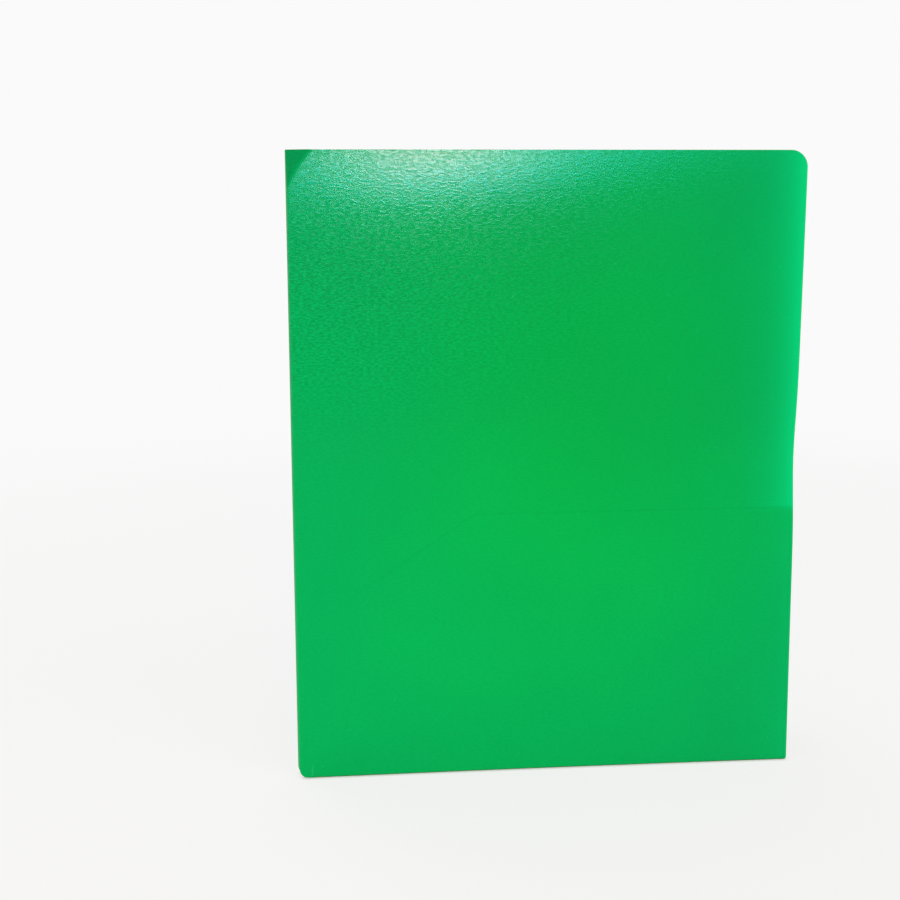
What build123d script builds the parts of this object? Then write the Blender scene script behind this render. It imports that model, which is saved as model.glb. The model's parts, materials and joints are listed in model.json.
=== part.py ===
from build123d import *
import os
from math import cos, radians, sin

# Two pocket folder of textured polypropylene sheet, standing upright and a little ajar.
# The sheet is cut in one piece, scored, folded and welded, so the nodes are the panels, folds and
# welds between its score lines. Frame: millimetres, +Z up, origin under the middle of the folder on
# the table. The spine is at -X, the open edge at +X, the front cover at -Y and the back cover at +Y.

# The sheet and the two covers
sheet = 0.45  # thickness of the sheet
cover_width = 239.0  # from the crease axis to the open edge
cover_height = 295.0  # from the table to the top edge
ajar_angle = 14.0  # degrees between the covers as the folder stands
top_corner_radius = 8.0  # free top corner
foot_corner_radius = 1.2  # free bottom corner, beside the fold
spine_corner_radius = 3.5  # bottom corner at the spine, cut away to relieve the crease

# The spine and its two creases
spine_width = 6.0  # from crease axis to crease axis
spine_relief = 4.0  # height of the spine's foot above the table
crease_clearance = 0.05  # between a crease's round and the edge of its cover
crease_seat_share = 0.45  # of the half sheet: where the spine strip meets the crease

# The pockets
pocket_gap = 0.6  # between a cover and its pocket
pocket_height = 127.0  # top edge above the table
pocket_edge_inset = 1.2  # from the cover's open edge
pocket_foot_inset = 6.0  # from the crease axis, at the fold
pocket_inner_inset = 9.0  # from the crease axis, at the top of the inner edge
pocket_inner_height = 76.5  # where the slanted edge meets the inner edge
pocket_slant_width = 84.0  # from the crease axis to the top of the slanted edge
pocket_mouth_radius = 2.0  # corner at the open edge
pocket_slant_radius = 8.0  # corner at the top of the slant
pocket_inner_radius = 5.0  # corner at the foot of the slant

# The fold under each pocket and the weld along its outer edge
fold_round_share = 0.85  # of the sheet: rounding of the fold's two lower edges
weld_width = 3.0
weld_inset = 0.8  # from the pocket's outer edge
weld_end_gap = 4.0  # left free at each end of the weld

half_sheet = sheet / 2
half_ajar = radians(ajar_angle / 2)
pocket_depth = sheet + pocket_gap  # from a cover's middle plane to its pocket's
pocket_end = cover_width - pocket_edge_inset
cover_start = half_sheet + crease_clearance
crease_seat = crease_seat_share * half_sheet
reach = cover_width * cos(half_ajar) + half_sheet * sin(half_ajar)  # of a cover along X
spine_x = (half_sheet - reach) / 2  # puts the middle of the folder over the origin


def cover_plane(side):
    """Middle plane of a cover: x runs from its crease axis to the open edge, y runs up."""
    return Plane(
        origin=(spine_x, side * spine_width / 2, 0),
        x_dir=(cos(half_ajar), side * sin(half_ajar), 0),
        z_dir=(side * sin(half_ajar), -cos(half_ajar), 0),
    )


def save(piece, label):
    piece.label = label
    export_step(piece, f"parts/{label}.step")


os.makedirs("parts", exist_ok=True)

# Spine strip, from one crease to the other
with BuildPart() as spine_strip:
    with BuildSketch(Plane(origin=(spine_x, 0, spine_relief), x_dir=(0, 1, 0), z_dir=(1, 0, 0))):
        Rectangle(
            spine_width - 2 * crease_seat,
            cover_height - spine_relief,
            align=(Align.CENTER, Align.MIN),
        )
    extrude(amount=half_sheet, both=True)
save(spine_strip.part, "spine_strip")

# The back half of the folder is the front half's mirror image: inwards is +side on a cover's plane
for name, side in (("front", -1), ("back", 1)):
    mid_cover = cover_plane(side)
    mid_pocket = mid_cover.offset(side * pocket_depth)
    mid_gap = mid_cover.offset(side * pocket_depth / 2)

    # Living hinge: a round on the crease axis with a flat where the spine strip joins it
    with BuildPart() as spine_crease:
        with BuildSketch(Plane(origin=(spine_x, side * spine_width / 2, spine_relief))):
            Circle(half_sheet)
            with Locations((0, -side * crease_seat)):
                Rectangle(
                    sheet,
                    sheet,
                    align=(Align.CENTER, Align.MAX if side > 0 else Align.MIN),
                    mode=Mode.SUBTRACT,
                )
        extrude(amount=cover_height - spine_relief)
    save(spine_crease.part, f"{name}_spine_crease")

    # Cover, from its crease to the open edge and from the fold to the top edge
    with BuildPart() as cover:
        with BuildSketch(mid_cover) as cover_outline:
            with Locations((cover_start, sheet)):
                Rectangle(
                    cover_width - cover_start,
                    cover_height - sheet,
                    align=(Align.MIN, Align.MIN),
                )
            spine_corners = cover_outline.vertices().group_by(Axis.X)[0].sort_by(Axis.Y)
            free_corners = cover_outline.vertices().group_by(Axis.X)[-1].sort_by(Axis.Y)
            fillet(free_corners[-1], top_corner_radius)
            fillet(free_corners[0], foot_corner_radius)
            fillet(spine_corners[0], spine_corner_radius)
        extrude(amount=half_sheet, both=True)
    save(cover.part, f"{name}_cover")

    # Pocket panel: full height at the open edge, slanting down towards the spine
    with BuildPart() as pocket:
        with BuildSketch(mid_pocket) as pocket_outline:
            with BuildLine():
                Polyline(
                    (pocket_foot_inset, sheet),
                    (pocket_end, sheet),
                    (pocket_end, pocket_height),
                    (pocket_slant_width, pocket_height),
                    (pocket_inner_inset, pocket_inner_height),
                    close=True,
                )
            make_face()
            upper_corners = pocket_outline.vertices().sort_by(Axis.Y)[2:].sort_by(Axis.X)
            fillet(upper_corners[0], pocket_inner_radius)
            fillet(upper_corners[1], pocket_slant_radius)
            fillet(upper_corners[2], pocket_mouth_radius)
        extrude(amount=half_sheet, both=True)
    save(pocket.part, f"{name}_pocket")

    # Fold at the foot, joining the cover to its pocket
    with BuildPart() as pocket_fold:
        with BuildSketch(mid_gap):
            with Locations((pocket_foot_inset, 0)):
                Rectangle(pocket_end - pocket_foot_inset, sheet, align=(Align.MIN, Align.MIN))
        extrude(amount=half_sheet + pocket_depth / 2, both=True)
        along = Axis((0, 0, 0), mid_cover.x_dir)
        fillet(pocket_fold.edges().filter_by(along).group_by(Axis.Z)[0], fold_round_share * sheet)
    save(pocket_fold.part, f"{name}_pocket_fold")

    # Welded seam between the cover and the pocket's outer edge
    with BuildPart() as pocket_weld:
        with BuildSketch(mid_gap):
            with Locations((pocket_end - weld_inset, sheet + weld_end_gap)):
                Rectangle(
                    weld_width,
                    pocket_height - sheet - 2 * weld_end_gap,
                    align=(Align.MAX, Align.MIN),
                )
        extrude(amount=pocket_gap / 2, both=True)
    save(pocket_weld.part, f"{name}_pocket_weld")
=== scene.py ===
import json
import math

import bpy
import numpy as np
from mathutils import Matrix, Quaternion, Vector


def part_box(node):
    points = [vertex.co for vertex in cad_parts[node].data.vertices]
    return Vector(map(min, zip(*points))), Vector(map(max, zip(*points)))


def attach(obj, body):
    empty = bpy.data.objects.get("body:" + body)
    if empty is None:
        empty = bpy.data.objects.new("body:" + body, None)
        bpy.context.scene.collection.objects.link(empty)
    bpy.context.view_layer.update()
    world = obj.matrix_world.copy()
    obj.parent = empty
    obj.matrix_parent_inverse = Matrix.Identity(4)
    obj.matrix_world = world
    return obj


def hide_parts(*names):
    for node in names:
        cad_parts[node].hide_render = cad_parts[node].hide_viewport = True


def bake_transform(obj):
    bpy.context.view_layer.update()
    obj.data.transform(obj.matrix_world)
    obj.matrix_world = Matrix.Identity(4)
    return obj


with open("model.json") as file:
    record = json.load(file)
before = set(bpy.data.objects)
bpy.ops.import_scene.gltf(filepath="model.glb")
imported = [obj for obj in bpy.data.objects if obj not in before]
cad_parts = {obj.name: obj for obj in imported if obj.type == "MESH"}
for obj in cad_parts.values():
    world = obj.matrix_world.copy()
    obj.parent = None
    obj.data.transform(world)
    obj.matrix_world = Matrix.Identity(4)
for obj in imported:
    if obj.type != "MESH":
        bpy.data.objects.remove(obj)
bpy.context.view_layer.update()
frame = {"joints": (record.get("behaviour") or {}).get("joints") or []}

# Main sizes, taken from the frame
crease_joint = {joint["name"]: joint for joint in frame["joints"]}["back_crease"]
spine_x, half_spine = crease_joint["pos_m"][:2]
half_ajar = math.radians(-crease_joint["range_deg"][0])
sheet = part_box("spine_strip")[1].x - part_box("spine_strip")[0].x
spine_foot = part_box("spine_strip")[0].z
cover_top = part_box("front_cover")[1].z
cover_width = (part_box("front_cover")[1].x - spine_x - sheet / 2 * math.sin(half_ajar)) / math.cos(half_ajar)
pocket_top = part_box("front_pocket")[1].z

# Cover and pocket outlines
top_corner_radius = 0.008
foot_corner_radius = 0.001
cut_foot = 0.0002
foot_draw_height = 0.012
spine_corner_radius = spine_foot - cut_foot
pocket_gap = 0.0006
pocket_edge_inset = 0.0012
pocket_end = cover_width - pocket_edge_inset
pocket_foot_inset = 0.006
pocket_inner_inset = 0.009
pocket_inner_height = 0.0765
pocket_slant_width = 0.084
pocket_mouth_radius = 0.002
pocket_slant_radius = 0.008
pocket_inner_radius = 0.005
pocket_depth = sheet + pocket_gap

# Edges of the sheet: their rounding, the share of it left at a seam, and its limit in steps of the grid
edge_round = 0.00009
seam_round_share = 0.1
round_limit = 0.4
sharp_angle = math.radians(40)

# Bends of the sheet
crease_radius = 0.0005
crease_reach = 0.0018
spine_crown = 0.00008
fold_seam = 0.0013
pocket_bulge_depth = 0.0005
pocket_bulge_width = 0.07
weld_width = 0.003
weld_inset = 0.0008
weld_end_gap = 0.004

# Dent at the top of the spine: its reach, how far its line is drawn in, the round of its fold, the
# share at which it stops, and where the painted shade on its facet starts and how fast that grows
dent_depth = 0.0034
dent_width = 0.0105
dent_height = 0.0165
dent_power = 0.85
dent_rounding = 0.05
dent_limit = -0.6
dent_shade_start = -0.06
dent_shade_width = 0.14

# Stress marks at the foot of a cover and in the creases, and painted shade along the underside of the
# fold, darkest where it meets the floor
foot_mark_stress = 0.8
foot_mark_height = 0.0075
foot_mark_fade = 0.004
foot_mark_width = 0.0003
fold_shade = -3.2
fold_shade_power = 1.6
crease_stress = 0.25
crease_mark_width = 0.0005

# Light that comes through a cover near its open edge, and the share of it left in front of the pocket
backlit_width = 0.009
backlit_before_pocket = 0.35
backlit_fade = 0.003

# How far each cover bows: broad sag, pinch above the pocket, sag of the foot, flare of the top corner
front_bow = (0.0014, 0.0033, 0.0008, 0.0011)
back_bow = (0.0001, 0.0, 0.0003, 0.0009)
pinch_rise = 0.024
pinch_spread = 0.025
flare_start = 0.55

# Spacing of the grids, and how far past the dent their close rows and columns go
cover_row_step = 0.0026
dent_row_step = 0.0007
pocket_row_step = 0.0013
dense_up = 1.15
dense_along = 1.3

# The greens of the sheet
sheet_green = (0.0, 0.42, 0.065)
weld_green = (0.0, 0.36, 0.055)
pale_green = (0.03, 0.6, 0.22, 1.0)
# Painted shade: under the fold's foot and on the pushed-in corner
painted_shade_green = (0.0, 0.12, 0.02, 1.0)
# The grain's hollows and ridges; near the top of the spine also painted shade and light of the relief
hollow_and_shade_green = (0.0, 0.2, 0.03, 1.0)
ridge_and_lit_green = (0.0, 0.66, 0.16, 1.0)
scuffed_green = (0.0, 0.62, 0.25, 1.0)
backlit_green = (0.0, 0.66, 0.19, 1.0)
# Painted shade: a faint dark line along the pocket's edge, seen through the cover
pocket_edge_shade_green = (0.0, 0.1, 0.02, 1.0)

# Levels of the studio's white light: where it is seen directly, and where it falls on things
background_white = 0.955
room_light = 0.68

# The sheet's gloss holds red back, and the front lamp is coloured to suit: red in its core, so that the
# highlight comes out pale, and cyan at its ends. The three go together. Under white lamps the tint of
# the gloss should be white too.
gloss_tint = (0.2, 0.82, 1.0, 1.0)
lamp_core_red = (5.2, 0.98, 0.96, 1.0)
lamp_end_cyan = (0.25, 0.9, 1.0, 1.0)


def unit(vectors):
    """Each vector divided by its own length."""
    return vectors / np.linalg.norm(vectors, axis=-1, keepdims=True)


def ease(share):
    """Smooth step from 0 to 1: three times the square less twice the cube."""
    share = np.clip(share, 0.0, 1.0)
    return share * share * (3.0 - 2.0 * share)


def hump(place, middle, spread):
    """Bell curve of height 1 about a middle."""
    return np.exp(-(((place - middle) / spread) ** 2))


def soft_ramp(value, rounding):
    """Zero below zero and the value itself above it, with the corner between them rounded off."""
    return 0.5 * (value + np.sqrt(value * value + rounding * rounding))


# Shape of the sheet as it stands


def outward_bow(side, along, up):
    """How far a cover stands out of its flat plane, negative towards the inside.

    The sum of a shallow sag that is deepest at mid height, a pinch at the open edge just above the
    pocket, where the single sheet gives way, a sag of the foot between its ends, and a flare at the
    free top corner. Each is a bell or sine in one direction times a power in the other.
    """
    share, height = along / cover_width, up / cover_top
    broad, pinch, foot, flare = front_bow if side < 0 else back_bow
    bow = -broad * np.sin(np.pi * np.clip(height, 0.0, 1.0)) * share**2
    bow -= pinch * hump(up, pocket_top + pinch_rise, pinch_spread) * share**5
    bow -= foot * np.sin(np.pi * np.clip(share, 0.0, 1.0)) * (1.0 - height) ** 2
    return bow + flare * ease((height - flare_start) / (1.0 - flare_start)) * share**2


def corner_facet(along, up):
    """Share of the way from a line that cuts off the top of the spine to the corner itself.

    One less the two distances from the corner, each as a share of the dent and raised to a power
    below 1, which draws the line in towards the corner.
    """
    across, down = np.maximum(along, 0.0) / dent_width, (cover_top - up) / dent_height
    return 1.0 - across**dent_power - np.maximum(down, 0.0) ** dent_power


def corner_dent(along, up):
    """How far the front corner at the top of the spine is pushed in: a flat facet above a slanted line.

    The facet's depth grows evenly from the line to the corner, and its fold is slightly round.
    Across the spine, where along is negative, it fades to nothing before the back crease.
    """
    facet = corner_facet(along, up)
    across = np.clip(1.0 + along / (2.0 * half_spine - crease_reach), 0.0, 1.0)
    return dent_depth * soft_ramp(facet, dent_rounding) * across * (facet > dent_limit)


def foot_edge(along):
    """Height of a cover's lower edge: the seam with the fold, and beside the fold the cut edge.

    At the spine the cut edge turns up in a quarter circle.
    """
    inset = np.clip(spine_corner_radius - along, 0.0, spine_corner_radius)
    cut = cut_foot + spine_corner_radius - np.sqrt(spine_corner_radius**2 - inset**2)
    return np.where((along > pocket_foot_inset) & (along < pocket_end), fold_seam, cut)


def drawn_to_foot(along, up):
    """Heights above the seam, moved so that they start at the lower edge; the move fades out upwards."""
    return up + (foot_edge(along) - fold_seam) * ease(1.0 - (up - fold_seam) / foot_draw_height)


def on_panel(side, along, up, inward):
    """Points of the folder from places on a panel.

    The cover's plane leaves the crease axis at half the ajar angle. The bow and the inward distance
    are measured square to it, and the dent straight across the folder.
    """
    depth = inward - outward_bow(side, along, up)
    x = spine_x + along * math.cos(half_ajar) + depth * math.sin(half_ajar)
    y = half_spine + along * math.sin(half_ajar) - depth * math.cos(half_ajar)
    if side < 0:
        y = y - corner_dent(along, up)
    return np.stack([x, side * y, up + 0.0 * x], axis=-1)


# Meshes


def border(rows, columns):
    """Rows and columns of a grid's border points, once round and anticlockwise."""
    last_row, last_column = rows - 1, columns - 1
    rising, falling = np.arange(last_row), np.arange(last_row, 0, -1)
    going, coming = np.arange(last_column), np.arange(last_column, 0, -1)
    row = np.concatenate([0 * going, rising, 0 * coming + last_row, falling])
    column = np.concatenate([going, 0 * rising + last_column, coming, 0 * falling])
    return row, column


def band(first, second):
    """Quads between two closed loops of equal length."""
    return np.stack([first, second, np.roll(second, -1), np.roll(first, -1)], axis=1)


def sheet_piece(name, middle, blank, stress_and_shade, backlit=0.0, thickness=sheet, seams=(), matt=0):
    """A closed sheet about a middle surface that is given as a grid of points.

    Both faces are the middle surface moved half the thickness along its normal, the cross product of
    the grid's two tangents. At the border they stop short by the edge round, and three bands of quads
    close the rim: a slope, the cut edge and a slope. At a seam, where the sheet carries on in the next
    piece, the round is a tenth as large, and it never takes more than two fifths of the grid's last step.
    Blank coordinates become the UV map, and the marks of the sheet become attributes of its points:
    stress, which is stress whitening above zero and painted shade below, backlit, cut_edge and matt,
    which is 1 on the face that the sign of matt points to.
    """
    rows, columns = middle.shape[:2]
    normal = unit(np.cross(np.gradient(middle, axis=1), np.gradient(middle, axis=0)))
    row, column = border(rows, columns)
    rim, rim_normal = middle[row, column], normal[row, column]
    inner = middle[np.clip(row, 1, rows - 2), np.clip(column, 1, columns - 2)]
    side = np.repeat(["foot", "end", "top", "start"], [columns - 1, rows - 1, columns - 1, rows - 1])
    rounding = edge_round * np.where(np.isin(side, seams), seam_round_share, 1.0)[:, None]
    rounding = np.minimum(rounding, round_limit * np.linalg.norm(inner - rim, axis=-1, keepdims=True))
    face = middle.copy()
    face[row, column] = rim + rounding * unit(inner - rim)
    wall = thickness / 2 - rounding
    points = [
        (face + normal * thickness / 2).reshape(-1, 3),
        (face - normal * thickness / 2).reshape(-1, 3),
        rim + rim_normal * wall,
        rim - rim_normal * wall,
    ]
    count = rows * columns
    index = np.arange(count).reshape(rows, columns)
    corners = [index[:-1, :-1], index[:-1, 1:], index[1:, 1:], index[1:, :-1]]
    quads = np.stack([corner.ravel() for corner in corners], axis=1)
    loop = index[row, column]
    upper = 2 * count + np.arange(len(loop))
    lower = upper + len(loop)
    rims = [band(loop, upper), band(upper, lower), band(lower, loop + count)]
    faces = [quads, quads[:, ::-1] + count, *rims]

    mesh = bpy.data.meshes.new(name)
    mesh.from_pydata(np.concatenate(points), [], np.concatenate(faces))
    corner_point = np.zeros(len(mesh.loops), dtype=np.int32)
    mesh.loops.foreach_get("vertex_index", corner_point)
    flat = blank.reshape(-1, 2)
    flat = np.concatenate([flat, flat, blank[row, column], blank[row, column]])
    mesh.uv_layers.new(name="blank").data.foreach_set("uv", flat[corner_point].astype(np.float32).ravel())
    parts = [count, count, len(loop), len(loop)]
    marks = {
        "cut_edge": np.repeat([0.0, 0.0, 1.0, 1.0], parts),
        "matt": np.repeat([matt > 0, matt < 0, matt > 0, matt < 0], parts),
    }
    for mark, grid in (("stress_and_shade", stress_and_shade), ("backlit", backlit + 0.0 * stress_and_shade)):
        marks[mark] = np.concatenate([grid.ravel(), grid.ravel(), grid[row, column], grid[row, column]])
    for mark, value in marks.items():
        mesh.attributes.new(mark, "FLOAT", "POINT").data.foreach_set("value", value.astype(np.float32))
    mesh.polygons.foreach_set("use_smooth", np.ones(len(mesh.polygons), dtype=bool))
    mesh.set_sharp_from_angle(angle=sharp_angle)
    piece = bpy.data.objects.new(name, mesh)
    bpy.context.scene.collection.objects.link(piece)
    return piece


def rounded_corner(before, corner, after, radius, steps=14):
    """Arc that touches both legs of a corner.

    Its centre is on the bisector, one radius from each leg, and the radius turns evenly between the
    two touching points.
    """
    leg_in, leg_out = unit(before - corner), unit(after - corner)
    half = math.acos(leg_in @ leg_out) / 2
    centre = corner + unit(leg_in + leg_out) * radius / math.sin(half)
    start = corner + leg_in * radius / math.tan(half) - centre
    end = corner + leg_out * radius / math.tan(half) - centre
    turn = math.pi - 2 * half
    share = np.linspace(0.0, 1.0, steps)[:, None]
    return centre + (np.sin((1.0 - share) * turn) * start + np.sin(share * turn) * end) / math.sin(turn)


def rising_rows(start, top, spacing, corner_radius, corner_steps=14):
    """Heights from a start to a top edge: even, then at the sines of even angles round the corner."""
    shoulder = top - corner_radius
    even = np.linspace(start, shoulder, int(round((shoulder - start) / spacing)) + 1)
    turn = np.linspace(0.0, np.pi / 2, corner_steps)[1:]
    return np.concatenate([even, shoulder + corner_radius * np.sin(turn)])


def cover_rows():
    """Heights of a cover's grid rows: close together in the foot corner and in the dent."""
    foot = fold_seam + foot_corner_radius * np.array([0.0, 0.1, 0.25, 0.5, 0.75, 1.0])
    dense = cover_top - dense_up * dent_height
    even = np.arange(foot[-1], dense, cover_row_step)[1:]
    upper = rising_rows(dense, cover_top, dent_row_step, top_corner_radius)
    return np.concatenate([foot, even, upper])


def cover_columns():
    """Distances of a cover's grid columns from the crease axis: close in the dent, then wider."""
    dense = np.linspace(crease_reach, pocket_foot_inset, 7)[:-1]
    step = np.array([-0.00006, 0.00006])
    beside = np.linspace(pocket_foot_inset, dense_along * dent_width, 14)[1:]
    even = np.linspace(beside[-1], pocket_end, 88)[1:-1]
    margin = np.linspace(pocket_end, cover_width, 5)[1:]
    return np.concatenate([dense, pocket_foot_inset + step, beside, even, pocket_end + step, margin])


def dent_facet_shade(side, along, up):
    """Painted shade on the pushed-in corner of the front cover: 1 on its facet, 0 elsewhere."""
    return ease((corner_facet(along, up) - dent_shade_start) / dent_shade_width) * (side < 0)


def cover_panel(name, side):
    """Cover: rows of points from the crease to the open edge.

    The open edge is straight between two quarter circles, one at the top corner and one at the foot.
    The last columns give way to the top one by the eighth power of their share of the width, and the
    margin beside the fold gives way to the lower one in proportion.
    """
    up, along = np.meshgrid(cover_rows(), cover_columns(), indexing="ij")
    up = drawn_to_foot(along, up)
    shoulder = np.maximum(up - (cover_top - top_corner_radius), 0.0)
    heel = np.maximum(cut_foot + foot_corner_radius - up, 0.0)
    top_cut = top_corner_radius - np.sqrt(np.maximum(top_corner_radius**2 - shoulder**2, 0.0))
    foot_cut = foot_corner_radius - np.sqrt(np.maximum(foot_corner_radius**2 - heel**2, 0.0))
    margin = np.clip((along - pocket_end) / (cover_width - pocket_end), 0.0, 1.0)
    along = along - top_cut * (along / cover_width) ** 8 - foot_cut * margin
    blank = np.stack([-side * (half_spine + along), up], axis=-1)
    foot_mark = hump(along, pocket_foot_inset, foot_mark_width)
    foot_mark = foot_mark * ease((foot_mark_height - up) / foot_mark_fade)
    above_pocket = ease((up - pocket_top) / backlit_fade + 1.0)
    clear = backlit_before_pocket + (1.0 - backlit_before_pocket) * above_pocket
    backlit = clear * np.exp((along - cover_width) / backlit_width)
    # Paler stress mark at the foot, and painted shade on the pushed-in corner
    stress_and_shade = foot_mark_stress * foot_mark - dent_facet_shade(side, along, up)
    points = on_panel(side, along, up, 0.0)
    return sheet_piece(name, points, blank, stress_and_shade, backlit, seams=("foot", "start"), matt=side)


def pocket_bulge(along, up):
    """How far a pocket stands off its cover beyond the gap: most at the mouth, none at fold and weld."""
    free = ease((pocket_end - along) / pocket_bulge_width)
    return pocket_bulge_depth * free * ease(up / pocket_top)


def pocket_panel(name, side):
    """Pocket: rows of points from its inner edge to its outer edge.

    The inner edge leans a little, turns into the slant and then into the mouth, each corner an arc.
    The outer edge is straight up to a quarter circle at the mouth.
    """
    foot = np.array([pocket_foot_inset, 0.0])
    bend = np.array([pocket_inner_inset, pocket_inner_height])
    peak = np.array([pocket_slant_width, pocket_top])
    mouth = np.array([pocket_end, pocket_top])
    inner_arc = rounded_corner(foot, bend, peak, pocket_inner_radius)
    slant_arc = rounded_corner(bend, peak, mouth, pocket_slant_radius)
    edge = np.concatenate([foot[None], inner_arc, slant_arc])
    height = rising_rows(fold_seam, pocket_top, pocket_row_step, pocket_mouth_radius)
    left = np.interp(height, edge[:, 1], edge[:, 0])
    shoulder = np.maximum(height - (pocket_top - pocket_mouth_radius), 0.0)
    arc = np.sqrt(np.maximum(pocket_mouth_radius**2 - shoulder**2, 0.0))
    right = pocket_end - pocket_mouth_radius + arc
    share = np.linspace(0.0, 1.0, 96)
    along = left[:, None] + (right - left)[:, None] * share
    up = height[:, None] + 0.0 * along
    blank = np.stack([-side * (half_spine + along), -up], axis=-1)
    points = on_panel(side, along, up, pocket_depth + pocket_bulge(along, up))
    return sheet_piece(name, points, blank, np.zeros_like(up), seams=("foot",))


def pocket_fold(name, side):
    """Fold at the foot: a half circle between cover and pocket, with a short flat beside each seam."""
    radius = pocket_depth / 2
    bottom = radius + sheet / 2
    turn = np.linspace(0.0, np.pi, 17)
    flat = np.linspace(fold_seam, bottom, 4)[:-1]
    up = np.concatenate([flat, bottom - radius * np.sin(turn), flat[::-1]])
    inward = np.concatenate([0.0 * flat, radius - radius * np.cos(turn), 0.0 * flat + pocket_depth])
    bent = np.concatenate([0.0 * flat, np.sin(turn), 0.0 * flat])
    up, along = np.meshgrid(up, np.linspace(pocket_foot_inset, pocket_end, 97), indexing="ij")
    inward = inward[:, None] + pocket_bulge(along, up) * inward[:, None] / pocket_depth
    reach = np.linspace(fold_seam, -fold_seam, up.shape[0])[:, None] + 0.0 * along
    blank = np.stack([-side * (half_spine + along), reach], axis=-1)
    # Painted shade, darkest at the bottom of the bend, where the fold meets the floor
    stress_and_shade = fold_shade * bent[:, None] ** fold_shade_power + 0.0 * along
    points = on_panel(side, along, up, inward)
    return sheet_piece(name, points[::-1], blank[::-1], stress_and_shade[::-1], seams=("foot", "top"))


def pocket_weld(name, side):
    """Welded seam: a flat strip that fills the gap between the cover and the pocket's outer edge."""
    outer = pocket_end - weld_inset
    along = np.linspace(outer - weld_width, outer, 7)
    height = np.linspace(weld_end_gap, pocket_top - weld_end_gap, 61)
    up, along = np.meshgrid(height, along, indexing="ij")
    blank = np.stack([-side * (half_spine + along), up], axis=-1)
    points = on_panel(side, along, up, pocket_depth / 2)
    return sheet_piece(name, points, blank, np.zeros_like(up), thickness=pocket_gap)


def crease_bend(name, side):
    """Crease beside the spine: the sheet's path from the spine round an arc to the cover, carried up.

    Seen from above, the arc touches the spine's line and the cover's line, so its centre is one radius
    inside both. Every column is a turn of the arc and a lead along the tangent there, and its place
    along the sheet goes by the path's length.
    """
    steps = 15
    whole_turn = math.pi / 2 - half_ajar
    touch = crease_radius * math.tan(whole_turn / 2)
    half_arc = crease_radius * whole_turn / 2
    lead = np.linspace(crease_reach - touch, 0.0, 5)[:-1]
    turn = np.concatenate([0.0 * lead, np.linspace(0.0, whole_turn, steps), 0.0 * lead + whole_turn])
    arc = np.linspace(-half_arc, half_arc, steps)
    length = np.concatenate([-half_arc - lead, arc, half_arc + lead[::-1]])
    lead = np.concatenate([-lead, np.zeros(steps), lead[::-1]])
    x = crease_radius * (1.0 - np.cos(turn)) + lead * np.sin(turn)
    y = half_spine - touch + crease_radius * np.sin(turn) + lead * np.cos(turn)
    along = length * crease_reach / length[-1]
    up, along = np.meshgrid(cover_rows(), along, indexing="ij")
    up = drawn_to_foot(along, up)
    y = y - (corner_dent(along, up) if side < 0 else 0.0)
    points = np.stack([spine_x + x + 0.0 * up, side * y + 0.0 * up, up], axis=-1)
    blank = np.stack([-side * (half_spine + along), up], axis=-1)
    # Paler mark along the crease, and painted shade on the pushed-in corner
    stress_and_shade = crease_stress * hump(along, 0.0, crease_mark_width) - dent_facet_shade(side, along, up)
    return sheet_piece(name, points, blank, stress_and_shade, seams=("start", "end"), matt=side)


def spine_panel(name):
    """Spine: a flat strip between its two creases, a little crowned outwards across its width.

    The crown is a parabola. The rows lie closer together towards the top, where the dent is.
    """
    half = half_spine - crease_reach
    y, up = np.meshgrid(np.linspace(-half, half, 9), np.linspace(0.0, 1.0, 141), indexing="xy")
    up = spine_foot + (cover_top - spine_foot) * (1.0 - (1.0 - up) ** 1.5)
    along = -half_spine - y
    crown = spine_crown * (1.0 - (y / half) ** 2)
    points = np.stack([spine_x - crown, y + corner_dent(along, up), up], axis=-1)
    blank = np.stack([-y, up], axis=-1)
    return sheet_piece(name, points, blank, np.zeros_like(up), seams=("start", "end"), matt=1)


# Materials


def add(tree, kind, *values, named=None, **options):
    """Adds a shader node: options are its settings, values and named fill its inputs."""
    node = tree.nodes.new(kind)
    for key, value in options.items():
        setattr(node, key, value)
    for key, value in [*enumerate(values), *(named or {}).items()]:
        if isinstance(value, bpy.types.NodeSocket):
            tree.links.new(value, node.inputs[key])
        elif value is not None:
            node.inputs[key].default_value = value
    return node


def calculate(tree, operation, *values):
    """Result of a Math node."""
    return add(tree, "ShaderNodeMath", *values, operation=operation).outputs[0]


def between(tree, value, low, high, start=0.0, end=1.0):
    """A value's smooth rise from one number to another as it passes from low to high."""
    kind = "ShaderNodeMapRange"
    return add(tree, kind, value, low, high, start, end, interpolation_type="SMOOTHSTEP").outputs[0]


def bell(tree, value, middle, spread):
    """Bell curve of height 1: e to the minus square of the distance from the middle over the spread."""
    share = calculate(tree, "DIVIDE", calculate(tree, "SUBTRACT", value, middle), spread)
    square = calculate(tree, "MULTIPLY", share, share)
    return calculate(tree, "EXPONENT", calculate(tree, "MULTIPLY", square, -1.0))


def tint(tree, share, colour, other):
    """One colour turning into another as the share goes from 0 to 1."""
    mix = add(tree, "ShaderNodeMix", data_type="RGBA", clamp_factor=True)
    for socket, value in ((mix.inputs[0], share), (mix.inputs[6], colour), (mix.inputs[7], other)):
        if isinstance(value, bpy.types.NodeSocket):
            tree.links.new(value, socket)
        else:
            socket.default_value = value
    return mix.outputs[2]


def mark(tree, name):
    """One of the marks that the sheet's points carry."""
    return add(tree, "ShaderNodeAttribute", attribute_name=name).outputs["Fac"]


def leather_grain(tree, blank, count, slimness):
    """Height of the embossed grain: so many wrinkles in a metre, and longer along the sheet's width."""
    stretched = add(tree, "ShaderNodeMapping", blank, named={"Scale": (slimness, 1.0, 1.0)}).outputs[0]
    return add(
        tree, "ShaderNodeTexNoise", noise_dimensions="2D",
        named={"Vector": stretched, "Scale": count, "Detail": 0.0, "Distortion": 0.6},
    ).outputs[0]


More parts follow.
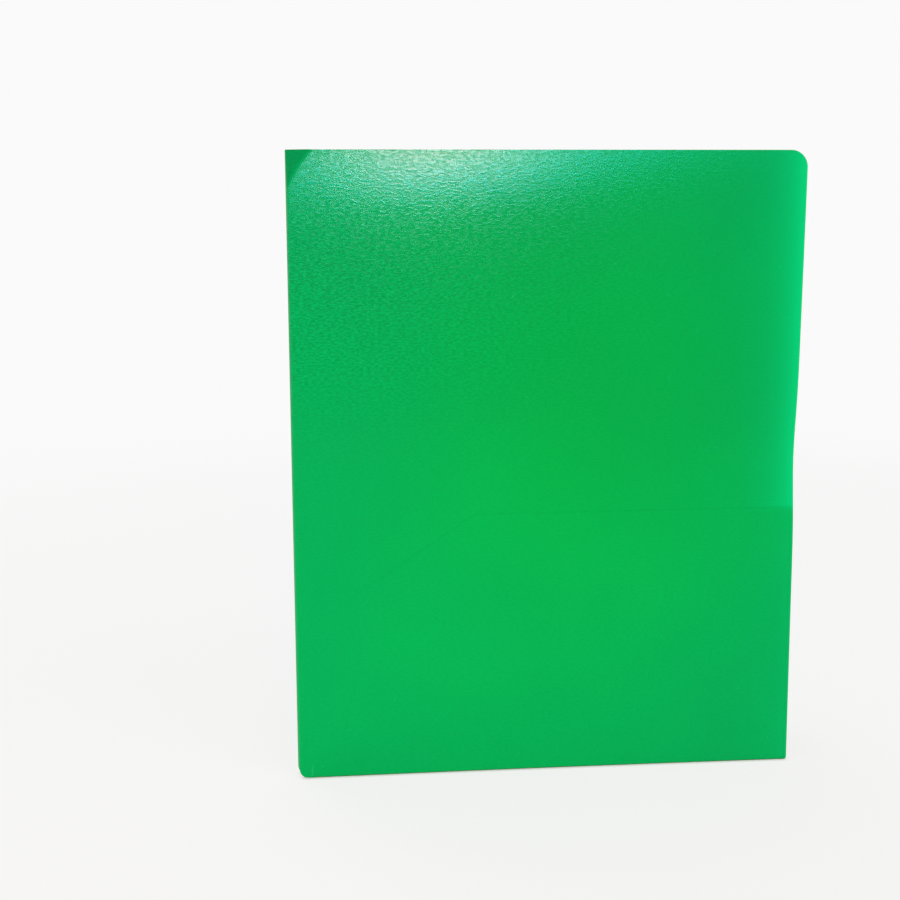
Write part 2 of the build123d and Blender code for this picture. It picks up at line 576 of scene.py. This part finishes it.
def scuffs(tree, blank):
    """Share of the surface that is scuffed: short ticks in three directions and some specks.

    Each direction has long cells of its own, a few cells are chosen, and a tick lies round their middle.
    """
    total = None
    cell_kinds = ((38.0, 0.018, 0.0030), (-24.0, 0.014, 0.0026), (81.0, 0.024, 0.0024), (0.0, 0.007, 0.007))
    for turn, length, width in cell_kinds:
        laid = add(
            tree, "ShaderNodeMapping", blank, vector_type="TEXTURE",
            named={"Rotation": (0.0, 0.0, math.radians(turn)), "Scale": (length, width, 1.0)},
        ).outputs[0]
        cells = add(
            tree, "ShaderNodeTexVoronoi", voronoi_dimensions="2D", feature="F1",
            named={"Vector": laid, "Scale": 1.0, "Randomness": 1.0},
        )
        number = add(tree, "ShaderNodeSeparateColor", cells.outputs[1]).outputs[0]
        chosen = calculate(tree, "GREATER_THAN", number, 0.992)
        tick = calculate(tree, "MULTIPLY", between(tree, cells.outputs[0], 0.03, 0.10, 1.0, 0.0), chosen)
        total = tick if total is None else calculate(tree, "MAXIMUM", total, tick)
    return total


def pocket_outline(tree, blank):
    """Distance inside the pocket's outline, in metres, for a place on a cover, and its distance along.

    The smallest of the distances from the outline's straight sides, with its corners rounded off.
    """
    u, v = add(tree, "ShaderNodeSeparateXYZ", blank).outputs[:2]
    along = calculate(tree, "SUBTRACT", calculate(tree, "ABSOLUTE", u), half_spine)
    lean = math.atan2(pocket_top - pocket_inner_height, pocket_slant_width - pocket_inner_inset)
    across = calculate(tree, "SUBTRACT", along, pocket_inner_inset)
    below = calculate(tree, "SUBTRACT", pocket_inner_height, v)
    below = calculate(tree, "MULTIPLY", below, math.cos(lean))
    slant = calculate(tree, "MULTIPLY_ADD", across, math.sin(lean), below)
    mouth = calculate(tree, "SUBTRACT", pocket_top, v)
    outer = calculate(tree, "SUBTRACT", pocket_end, along)
    inner = calculate(tree, "SUBTRACT", along, (pocket_foot_inset + pocket_inner_inset) / 2)
    upper = calculate(tree, "SMOOTH_MIN", mouth, slant, 0.003)
    return calculate(tree, "SMOOTH_MIN", upper, calculate(tree, "MINIMUM", inner, outer), 0.002), along


def tone_with_painted_light(tree, blank, colour, matt):
    """The sheet's green, with painted light: lighter low down and cooler towards the rim.

    Green grows with a wide bell about the foot, which is painted light, and with a soft cloud of random
    tone. Blue falls with a bell about the middle of the upper part, so that the rim shows a painted cool
    reflection of white light. On the matt face the second bell gives way to an even value.
    """
    cloud = add(
        tree, "ShaderNodeTexNoise", noise_dimensions="2D",
        named={"Vector": blank, "Scale": 14.0, "Detail": 2.0},
    ).outputs[0]
    u, v = add(tree, "ShaderNodeSeparateXYZ", blank).outputs[:2]
    off_spine, off_fold = calculate(tree, "ABSOLUTE", u), calculate(tree, "ABSOLUTE", v)
    low = calculate(tree, "MULTIPLY", bell(tree, off_spine, 0.085, 0.19), bell(tree, off_fold, 0.07, 0.14))
    painted_light_and_tone = calculate(tree, "MULTIPLY_ADD", low, 0.65, calculate(tree, "MULTIPLY", cloud, 0.35))
    no_painted_reflection = calculate(tree, "MULTIPLY", bell(tree, off_spine, 0.145, 0.11), bell(tree, off_fold, 0.19, 0.13))
    no_painted_reflection = add(tree, "ShaderNodeMix", matt, None, no_painted_reflection, 0.55).outputs[0]
    green = calculate(tree, "MULTIPLY_ADD", painted_light_and_tone, 0.40 * colour[1], 0.86 * colour[1])
    blue = calculate(tree, "MULTIPLY_ADD", no_painted_reflection, -0.70 * colour[2], 1.52 * colour[2])
    return add(tree, "ShaderNodeCombineColor", colour[0], green, blue).outputs[0]


def grained_with_painted_relief(tree, blank, paint):
    """Paint with darker hollows and lighter ridges, both stronger near the top of the spine.

    A weak part is the grain's own colour. The stronger part there is painted shade in the hollows and
    painted light on the ridges, where the front lamp shows the relief: a bell about the spine times a bell
    about a height.
    """
    u, v = add(tree, "ShaderNodeSeparateXYZ", blank).outputs[:2]
    off_spine = calculate(tree, "ABSOLUTE", u)
    painted_relief_zone = calculate(tree, "MULTIPLY", bell(tree, off_spine, 0.0, 0.11), bell(tree, v, 0.23, 0.05))
    fine = leather_grain(tree, blank, count=1750.0, slimness=0.32)
    hollow_and_shade = between(tree, fine, 0.3, 0.6, 1.0, 0.0)
    hollow_and_shade = calculate(tree, "MULTIPLY", hollow_and_shade, calculate(tree, "MULTIPLY_ADD", painted_relief_zone, 0.24, 0.1))
    ridge_and_lit = calculate(tree, "MULTIPLY", between(tree, fine, 0.45, 0.7), painted_relief_zone)
    paint = tint(tree, hollow_and_shade, paint, hollow_and_shade_green)
    return tint(tree, calculate(tree, "MULTIPLY", ridge_and_lit, 0.3), paint, ridge_and_lit_green)


def pocket_behind(tree, blank, paint, grain):
    """Paint and height of a cover with its pocket showing through.

    The sheet is doubled inside the pocket's outline, which stands out a little, and its edge shows as a
    faint line of painted shade. Light that comes through near the open edge is weaker there.
    """
    inside, along = pocket_outline(tree, blank)
    shown = between(tree, along, 0.012, 0.05)
    doubled = calculate(tree, "MULTIPLY", between(tree, inside, -0.0004, 0.0004), shown)
    line = between(tree, calculate(tree, "ABSOLUTE", inside), 0.0, 0.0009, 1.0, 0.0)
    line = calculate(tree, "MULTIPLY", line, shown)
    weaker = calculate(tree, "MULTIPLY_ADD", doubled, -0.4, 1.0)
    single = calculate(tree, "MULTIPLY", mark(tree, "backlit"), weaker)
    paint = tint(tree, single, paint, backlit_green)
    # Painted shade: a faint dark line along the pocket's edge
    paint = tint(tree, calculate(tree, "MULTIPLY", line, 0.06), paint, pocket_edge_shade_green)
    return paint, calculate(tree, "MULTIPLY_ADD", doubled, 2.2, grain)


def green_sheet(name, colour, gloss_roughness, grain_depth, covers_pocket=False):
    """Embossed polypropylene, coloured through.

    It pales where the sheet was creased or cut, is darkened by painted shade under the fold's foot and on
    the pushed-in corner, and is scuffed in places.
    The grain is a bump. Roughness follows it and is higher on scuffs and on the matt face. At a low angle
    the gloss is rougher, because the grain's ridges hide its smooth hollows. The gloss is tinted, to go
    with the coloured lamp in front.
    """
    material = bpy.data.materials.new(name)
    material.use_nodes = True
    tree = material.node_tree
    shader = tree.nodes["Principled BSDF"]
    blank = add(tree, "ShaderNodeUVMap", uv_map="blank").outputs[0]
    height = grain = leather_grain(tree, blank, count=900.0, slimness=0.5)
    scuffed, matt, stress_and_shade = scuffs(tree, blank), mark(tree, "matt"), mark(tree, "stress_and_shade")
    # Painted light: lighter low down, a cool reflection at the rim, and the relief's shade near the spine's
    # top
    paint = grained_with_painted_relief(tree, blank, tone_with_painted_light(tree, blank, colour, matt))
    layers = (
        (stress_and_shade, 0.55, pale_green),
        # Painted shade where the stress mark is below zero: under the fold's foot and on the pushed-in corner
        (stress_and_shade, -0.28, painted_shade_green),
        (mark(tree, "cut_edge"), 0.35, pale_green),
        (scuffed, 0.25, scuffed_green),
    )
    for share, strength, other in layers:
        paint = tint(tree, calculate(tree, "MULTIPLY", share, strength), paint, other)
    if covers_pocket:
        paint, height = pocket_behind(tree, blank, paint, grain)
    tree.links.new(paint, shader.inputs["Base Color"])
    rough = between(tree, grain, 0.35, 0.65, gloss_roughness + 0.08, gloss_roughness)
    rough = calculate(tree, "MULTIPLY_ADD", scuffed, 0.2, rough)
    rough = calculate(tree, "MULTIPLY_ADD", matt, 0.38, rough)
    slanting = add(tree, "ShaderNodeLayerWeight", 0.5).outputs["Facing"]
    rough = calculate(tree, "ADD", rough, between(tree, slanting, 0.5, 0.9, 0.0, 0.5))
    tree.links.new(rough, shader.inputs["Roughness"])
    bump = add(tree, "ShaderNodeBump", named={"Strength": 1.0, "Distance": grain_depth, "Height": height})
    tree.links.new(bump.outputs[0], shader.inputs["Normal"])
    shader.inputs["IOR"].default_value = 1.49
    shader.inputs["Specular IOR Level"].default_value = 0.2
    shader.inputs["Specular Tint"].default_value = gloss_tint
    return material


# Pieces


def dress_half(half, side, finishes):
    """Cover, pocket, fold and weld of one half, riding on its body, and the crease that joins it."""
    makers = (
        ("cover_panel", cover_panel, "cover", "cover_sheet"),
        ("pocket_panel", pocket_panel, "pocket", "pocket_sheet"),
        ("foot_fold", pocket_fold, "pocket_fold", "crease"),
        ("weld_seam", pocket_weld, "pocket_weld", "weld_seam"),
    )
    for kind, make, node, slot in makers:
        piece = make(f"{half}_{kind}", side)
        piece.data.materials.append(finishes[slot])
        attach(piece, half)
        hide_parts(f"{half}_{node}")
    bend = crease_bend(f"{half}_crease_bend", side)
    bend.data.materials.append(finishes["crease"])
    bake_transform(bend)
    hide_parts(f"{half}_spine_crease")


def dress_folder():
    """Every piece of the folder with its finish."""
    finishes = {
        "cover_sheet": green_sheet(
            "green_cover_sheet", sheet_green, gloss_roughness=0.07, grain_depth=0.000014, covers_pocket=True
        ),
        "pocket_sheet": green_sheet(
            "green_pocket_sheet", sheet_green, gloss_roughness=0.34, grain_depth=0.000011
        ),
        "crease": green_sheet(
            "green_creased_sheet", sheet_green, gloss_roughness=0.07, grain_depth=0.000014
        ),
        "weld_seam": green_sheet("green_weld", weld_green, gloss_roughness=0.2, grain_depth=0.000009),
    }
    for half, side in (("front", -1), ("back", 1)):
        dress_half(half, side, finishes)
    spine = spine_panel("spine_panel")
    spine.data.materials.append(finishes["cover_sheet"])
    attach(spine, "spine")
    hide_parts("spine_strip")


# Studio


def seen_directly(tree):
    """1 for rays from the camera, a mirror or glass, 0 for the light that falls on things."""
    path = add(tree, "ShaderNodeLightPath").outputs
    mirrored = calculate(tree, "MAXIMUM", path["Is Glossy Ray"], path["Is Transmission Ray"])
    return calculate(tree, "MAXIMUM", path["Is Camera Ray"], mirrored)


def studio_floor():
    """Pale floor: one large square that turns into the background's white away from the folder.

    Close under the folder's foot, where little of the sky is clear, the white gives way to the floor's
    own colour, which leaves a thin contact shadow.
    """
    half = 12.0
    mesh = bpy.data.meshes.new("studio_floor")
    corners = [(-half, -half, 0), (half, -half, 0), (half, half, 0), (-half, half, 0)]
    mesh.from_pydata(corners, [], [(0, 1, 2, 3)])
    floor = bpy.data.objects.new("studio_floor", mesh)
    bpy.context.scene.collection.objects.link(floor)
    material = bpy.data.materials.new("pale_floor")
    material.use_nodes = True
    tree = material.node_tree
    shader = tree.nodes["Principled BSDF"]
    shader.inputs["Base Color"].default_value = (0.88, 0.88, 0.87, 1.0)
    shader.inputs["Roughness"].default_value = 0.9
    shader.inputs["Specular IOR Level"].default_value = 0.1
    glow = add(tree, "ShaderNodeEmission", (background_white, background_white, background_white, 1.0), 1.0)
    place = add(tree, "ShaderNodeTexCoord").outputs["Object"]
    distance = add(tree, "ShaderNodeVectorMath", place, operation="LENGTH").outputs["Value"]
    far = between(tree, distance, 0.5, 1.4)
    share = calculate(tree, "MULTIPLY", between(tree, far, 0.0, 1.0, 0.8, 1.0), seen_directly(tree))
    clear = add(tree, "ShaderNodeAmbientOcclusion", samples=3, named={"Distance": 0.0025}).outputs["AO"]
    share = calculate(tree, "MULTIPLY", share, calculate(tree, "POWER", clear, 3.0))
    mix = add(tree, "ShaderNodeMixShader", share, shader.outputs[0], glow.outputs[0])
    tree.links.new(mix.outputs[0], tree.nodes["Material Output"].inputs["Surface"])
    mesh.materials.append(material)


def studio_world():
    """Even white light all round, and the background's white where it is seen directly."""
    world = bpy.data.worlds.new("studio_world")
    world.use_nodes = True
    tree = world.node_tree
    background = tree.nodes["Background"]
    background.inputs["Color"].default_value = (1.0, 1.0, 1.0, 1.0)
    strength = between(tree, seen_directly(tree), 0.0, 1.0, room_light, background_white)
    tree.links.new(strength, background.inputs["Strength"])
    bpy.context.scene.world = world


def softbox(name, place, aim, size, power):
    """Soft lamp that faces a point."""
    lamp = bpy.data.lights.new(name, "AREA")
    lamp.shape = "RECTANGLE"
    lamp.size, lamp.size_y = size
    lamp.energy = power
    holder = bpy.data.objects.new(name, lamp)
    holder.location = place
    holder.rotation_mode = "QUATERNION"
    holder.rotation_quaternion = (Vector(aim) - Vector(place)).to_track_quat("-Z", "Y")
    bpy.context.scene.collection.objects.link(holder)
    return lamp


def front_strip():
    """Long low lamp in front, which shines on the top of the front cover.

    It is brightest left of its middle, where a narrow and a wide bell add up. Its lower edge is a
    shallow arc with a dim rim below it. Its light isn't white: it turns from cyan to red in the core.
    """
    low, high, middle_x = 0.278, 0.391, -0.05
    place = (middle_x, -1.41, (low + high) / 2)
    lamp = softbox("front_strip", place, (middle_x, 0.0, place[2]), (1.1, high - low), 15.5)
    lamp.use_nodes = True
    tree = lamp.node_tree
    position = add(tree, "ShaderNodeNewGeometry").outputs["Position"]
    x, _, z = add(tree, "ShaderNodeSeparateXYZ", position).outputs
    near = calculate(tree, "MULTIPLY", bell(tree, x, -0.13, 0.17), 0.6)
    along = calculate(tree, "MULTIPLY_ADD", bell(tree, x, 0.0, 0.33), 0.4, near)
    off = calculate(tree, "SUBTRACT", x, -0.1)
    arc = calculate(tree, "MULTIPLY_ADD", calculate(tree, "MULTIPLY", off, off), 0.25, 0.312)
    above = calculate(tree, "SUBTRACT", z, arc)
    dim = between(tree, above, -0.034, -0.004, 0.0, 0.25)
    lit = calculate(tree, "ADD", dim, between(tree, above, -0.004, 0.004, 0.0, 0.75))
    core = calculate(tree, "MULTIPLY", near, between(tree, above, 0.004, 0.04, 0.0, 1.6))
    colour = tint(tree, core, lamp_end_cyan, lamp_core_red)
    tree.links.new(colour, tree.nodes["Emission"].inputs["Color"])
    tree.links.new(calculate(tree, "MULTIPLY", along, lit), tree.nodes["Emission"].inputs["Strength"])


def studio_lights():
    """A high soft key and a soft fill behind, both white, and a long low coloured lamp in front."""
    middle = (0.0, 0.0, 0.15)
    softbox("key_softbox", (1.2, -1.5, 1.5), middle, (1.4, 1.4), 8.0)
    softbox("back_softbox", (-0.9, 1.8, 1.4), middle, (1.4, 1.4), 12.0)
    front_strip()


def studio_camera():
    """Camera at the photograph's viewing angle: placed, aimed and rolled a little."""
    place, aim = Vector((-0.18398, -0.64116, 0.26141)), Vector((-0.04371, 0.00019, 0.15593))
    roll = math.radians(-0.225)
    data = bpy.data.cameras.new("camera")
    data.sensor_width, data.lens = 36.0, 56.0
    data.clip_start, data.clip_end = 0.05, 50.0
    camera = bpy.data.objects.new("camera", data)
    camera.location = place
    camera.rotation_mode = "QUATERNION"
    level = (aim - place).to_track_quat("-Z", "Y")
    camera.rotation_quaternion = level @ Quaternion((0.0, 0.0, 1.0), roll)
    bpy.context.scene.collection.objects.link(camera)
    bpy.context.scene.camera = camera


dress_folder()
studio_floor()
studio_world()
studio_lights()
studio_camera()
bpy.context.scene.view_settings.view_transform = "Standard"
